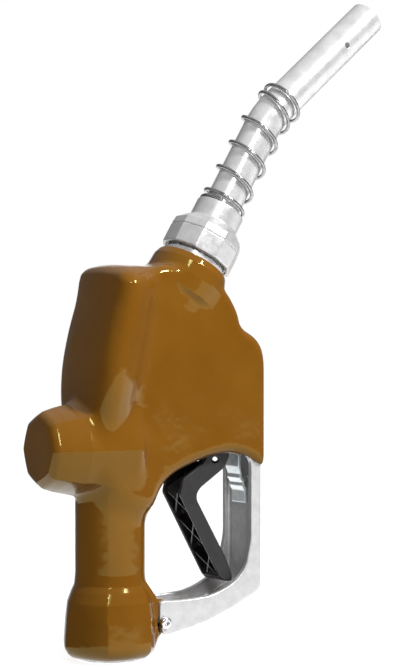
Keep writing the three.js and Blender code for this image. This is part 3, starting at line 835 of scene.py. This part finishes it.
def spout_metal():
    """Drawn aluminium tube: satin, with faint marks along it."""
    look = Look("spout_aluminium", Metallic=0.4)
    tone = look.colour(look.noise(9, 4), [(0.3, (0.62, 0.62, 0.62)), (0.7, (0.78, 0.78, 0.78))])
    scratches = look.span(look.noise(3, 5, 0.7, stretch=(1, 1, 0.15)), 0, 0.35, 0.6, 0.75)
    look.paint(look.blended(tone, scratches, (0.42, 0.42, 0.43)))
    look.rough(look.span(look.noise(6, 5, 0.6), 0.2, 0.34))
    look.bump(look.noise(7, 3, stretch=(1, 1, 0.4)), 0.3, 0.5)
    look.bump(look.noise(0.6, 3, stretch=(1, 1, 0.2)), 0.01, 0.5)
    return look.material


def black_plastic():
    """Black glass-filled nylon with a faint moulded grain."""
    look = Look("black_plastic", IOR=1.5, Specular_IOR_Level=0.4)
    look.paint(look.colour(look.noise(7, 5), [(0.3, (0.012, 0.011, 0.012)), (0.75, (0.024, 0.022, 0.023))]))
    look.rough(look.span(look.noise(1.5, 4), 0.34, 0.5))
    look.bump(look.noise(0.35, 2), 0.015, 0.6)
    look.bump(look.noise(8, 1), 0.2, 0.3)
    return look.material


def zinc_plate():
    """Bright zinc plate with the blue and yellow bloom of its passivation."""
    look = Look("zinc_plate", Metallic=0.6)
    look.paint(look.colour(look.noise(7, 3, warp=1.5), [
        (0.3, (0.66, 0.76, 0.8)), (0.5, (0.8, 0.86, 0.88)), (0.7, (0.83, 0.83, 0.78)),
    ]))
    look.rough(look.span(look.noise(1, 4, stretch=(1, 0.2, 1)), 0.34, 0.46))
    look.bump(look.noise(0.7, 3, stretch=(1, 0.15, 1)), 0.012, 0.6)
    return look.material


def steel(name, low, high, rough):
    """Plain bright steel, with fine marks."""
    look = Look(name, Metallic=1.0)
    look.paint(look.colour(look.noise(3, 4), [(0.3, low), (0.7, high)]))
    look.rough(look.span(look.noise(0.8, 4), rough - 0.06, rough + 0.08))
    look.bump(look.noise(0.4, 3), 0.008, 0.5)
    return look.material


def brass():
    """Dull machined brass."""
    look = Look("brass", Metallic=1.0)
    look.paint(look.colour(look.noise(4, 4), [(0.3, (0.5, 0.33, 0.1)), (0.7, (0.72, 0.52, 0.2))]))
    look.rough(look.span(look.noise(1, 4), 0.22, 0.4))
    look.bump(look.noise(0.5, 3), 0.01, 0.5)
    return look.material


def rubber():
    """Black rubber with a matt, slightly pitted face."""
    look = Look("rubber", IOR=1.5)
    look.paint(look.colour(look.noise(3, 4), [(0.3, (0.012, 0.012, 0.012)), (0.7, (0.03, 0.03, 0.03))]))
    look.rough(look.span(look.noise(1, 4), 0.55, 0.75))
    look.bump(look.noise(0.4, 3), 0.02, 0.5)
    return look.material


def make_looks():
    """The materials, by the names of the record's slots."""
    return {
        "vinyl": vinyl(),
        "cast_aluminium": cast_metal("cast_aluminium", (0.57, 0.57, 0.58), (0.66, 0.66, 0.66)),
        "spout_aluminium": spout_metal(),
        "black_plastic": black_plastic(),
        "zinc_plate": zinc_plate(),
        "spring_steel": steel("spring_steel", (0.19, 0.19, 0.2), (0.34, 0.34, 0.35), 0.2),
        "bright_steel": steel("bright_steel", (0.6, 0.6, 0.61), (0.78, 0.78, 0.79), 0.2),
        "brass": brass(),
        "rubber": rubber(),
    }


# ---------- the pieces ----------
def build_pieces(looks):
    """Every piece that stands for a CAD node. The last number of each is the size of its mesh's cells."""
    def add(name, shape, node, slot, body, step):
        made = grown(name, shape, *box_of(node), step)
        place(made, body, slot, looks[slot], node)

    root, lever_body = "nozzle_body", "lever"
    add("cover", cover, "hand_insulator", "vinyl", root, 1.15)
    add("casting", casting, "body_casting", "cast_aluminium", root, 1.2)
    add("guard_casting", guard, "lever_guard", "cast_aluminium", root, 0.8)
    add("lever_moulding", lever, "lever", "black_plastic", lever_body, 0.55)
    add("nut_casting", nut, "spout_nut", "cast_aluminium", root, 0.5)
    add("clip_leaf", clip, "hold_open_clip", "zinc_plate", "clip", 0.35)
    add("screw_left", pan_screw(-1), "guard_screw_left", "bright_steel", root, 0.3)
    add("screw_right", pan_screw(1), "guard_screw_right", "bright_steel", root, 0.3)
    add("upper_guard_pin", pin(TOP_PIN_AT, 1.8, 14.9), "guard_top_pin", "bright_steel", root, 0.4)
    add("clip_hinge_pin", pin(CLIP_PIN_AT, 1.5, 14.9), "clip_pin", "bright_steel", root, 0.35)
    add("lever_hinge_pin", pin(PIVOT, 2.5, 11), "lever_pivot_pin", "bright_steel", "plunger", 0.4)
    place(make_spout(), root, "spout_aluminium", looks["spout_aluminium"], "spout")
    place(make_spout_spring(), root, "spring_steel", looks["spring_steel"], "spout_spring")
    place(make_clip_spring(), root, "spring_steel", looks["spring_steel"], "clip_spring")


def dress_cad_nodes(looks):
    """Gives each CAD node that still shows the material of its slot in the record."""
    slots = {s["node"]: s["material_slot"] for s in frame["record"]["subparts"]}
    for name, node in frame["nodes"].items():
        node.data.materials.clear()
        node.data.materials.append(looks[slots[name]])


# ---------- stage, light and camera ----------
FLOOR_R = 3.0  # in metres, like every size and place on the stage
FLOOR_Z = -0.0005
FLOOR_SIDES = 64
FRONT_LEVEL = 0.2  # how bright the dark side of the studio is
DIFFUSE_SHARE = 0.34  # how much of what reflections show lights plain surfaces
BRIGHT_SIDES = [  # the direction, where its brightness starts and ends as a cosine, and its level
    ((-0.002, -0.129, -1), 0.172, 0.2, 2.0),
    ((0, 0, 1), 0.35, 0.8, 0.8),
    ((0.53, 0.848, 0), 0.86, 0.97, 1.1),
]
LIGHTS = [  # name, place, size and power
    ("key", (0.8, -1.35, 1.5), (0.36, 0.36), 43),
    ("window", (-0.5, -1.4, 1.2), (0.3, 0.35), 9),
]
CAMERA_DISTANCE = 1.035
CAMERA_TARGET = Vector((0.0598, 0, 0.173))
CAMERA_LENS = 100.48  # its focal length on a sensor of the width below, both in millimetres
SENSOR_WIDTH = 36


def make_floor():
    """A plain pale floor, bright enough to vanish into the background."""
    turns = np.linspace(0, 2 * math.pi, FLOOR_SIDES, endpoint=False)
    rim = [(FLOOR_R * math.cos(a), FLOOR_R * math.sin(a), FLOOR_Z) for a in turns]
    made = make_object("floor", np.array(rim) / MM, [tuple(range(len(rim)))])
    look = Look("floor", Roughness=0.6, Emission_Color=(1, 1, 1, 1), Emission_Strength=0.85)
    look.paint(look.colour(look.noise(300, 2), [(0.3, (0.3, 0.3, 0.3)), (0.7, (0.33, 0.33, 0.33))]))
    made.data.materials.append(look.material)
    made.visible_glossy = False  # reflections show the studio's own bright underside instead
    made.visible_diffuse = False


def make_light(name, spot, size, power):
    """A soft rectangular light, aimed at the nozzle."""
    data = bpy.data.lights.new(name, "AREA")
    data.shape = "RECTANGLE"
    data.size, data.size_y = size
    data.energy = power
    made = bpy.data.objects.new(name, data)
    made.location = spot
    made.rotation_mode = "QUATERNION"
    made.rotation_quaternion = (CAMERA_TARGET - Vector(spot)).to_track_quat("-Z", "Y")
    bpy.context.scene.collection.objects.link(made)


def math_node(nodes, links, operation, first, second):
    """The operation on two values."""
    made = nodes.new("ShaderNodeMath")
    made.operation = operation
    links.new(first, made.inputs[0])
    links.new(second, made.inputs[1])
    return made.outputs[0]


def bright_side(nodes, links, direction, toward, start, end, high):
    """FRONT_LEVEL, rising to high where the direction is close to toward."""
    dot = nodes.new("ShaderNodeVectorMath")
    dot.operation = "DOT_PRODUCT"
    dot.inputs[1].default_value = toward
    links.new(direction, dot.inputs[0])
    made = nodes.new("ShaderNodeMapRange")
    values = {"From Min": start, "From Max": end, "To Min": FRONT_LEVEL, "To Max": high}
    for socket, value in values.items():
        made.inputs[socket].default_value = value
    links.new(dot.outputs["Value"], made.inputs["Value"])
    return made.outputs["Result"]


def make_world():
    """White for the camera. Reflections and plain surfaces see a dark front and the bright sides."""
    world = bpy.data.worlds.new("studio")
    world.use_nodes = True
    nodes, links = world.node_tree.nodes, world.node_tree.links
    direction = nodes.new("ShaderNodeTexCoord").outputs["Generated"]
    level, *others = [bright_side(nodes, links, direction, *side) for side in BRIGHT_SIDES]
    for other in others:
        level = math_node(nodes, links, "MAXIMUM", level, other)
    ray = nodes.new("ShaderNodeLightPath")
    share = nodes.new("ShaderNodeMapRange")
    share.inputs["To Min"].default_value = 1
    share.inputs["To Max"].default_value = DIFFUSE_SHARE
    links.new(ray.outputs["Is Diffuse Ray"], share.inputs["Value"])
    dimmed = math_node(nodes, links, "MULTIPLY", level, share.outputs["Result"])
    mix = nodes.new("ShaderNodeMix")
    mix.data_type = "RGBA"
    links.new(ray.outputs["Is Camera Ray"], mix.inputs["Factor"])
    links.new(dimmed, mix.inputs["A"])
    mix.inputs["B"].default_value = (1, 1, 1, 1)
    links.new(mix.outputs["Result"], nodes["Background"].inputs["Color"])
    bpy.context.scene.world = world


def make_camera():
    """Level, beside the nozzle and a little to its rear."""
    data = bpy.data.cameras.new("camera")
    data.sensor_width = SENSOR_WIDTH
    data.lens = CAMERA_LENS
    made = bpy.data.objects.new("camera", data)
    away = Vector((-math.sin(CAMERA_TURN), -math.cos(CAMERA_TURN), 0))
    made.location = CAMERA_TARGET + away * CAMERA_DISTANCE
    made.rotation_mode = "QUATERNION"
    made.rotation_quaternion = (-away).to_track_quat("-Z", "Y")
    bpy.context.scene.collection.objects.link(made)
    bpy.context.scene.camera = made


def build_studio():
    """Floor, surroundings, lights and camera."""
    make_floor()
    make_world()
    for light in LIGHTS:
        make_light(*light)
    make_camera()
    bpy.context.scene.view_settings.view_transform = "Standard"


looks = make_looks()
dress_cad_nodes(looks)
build_pieces(looks)
build_studio()
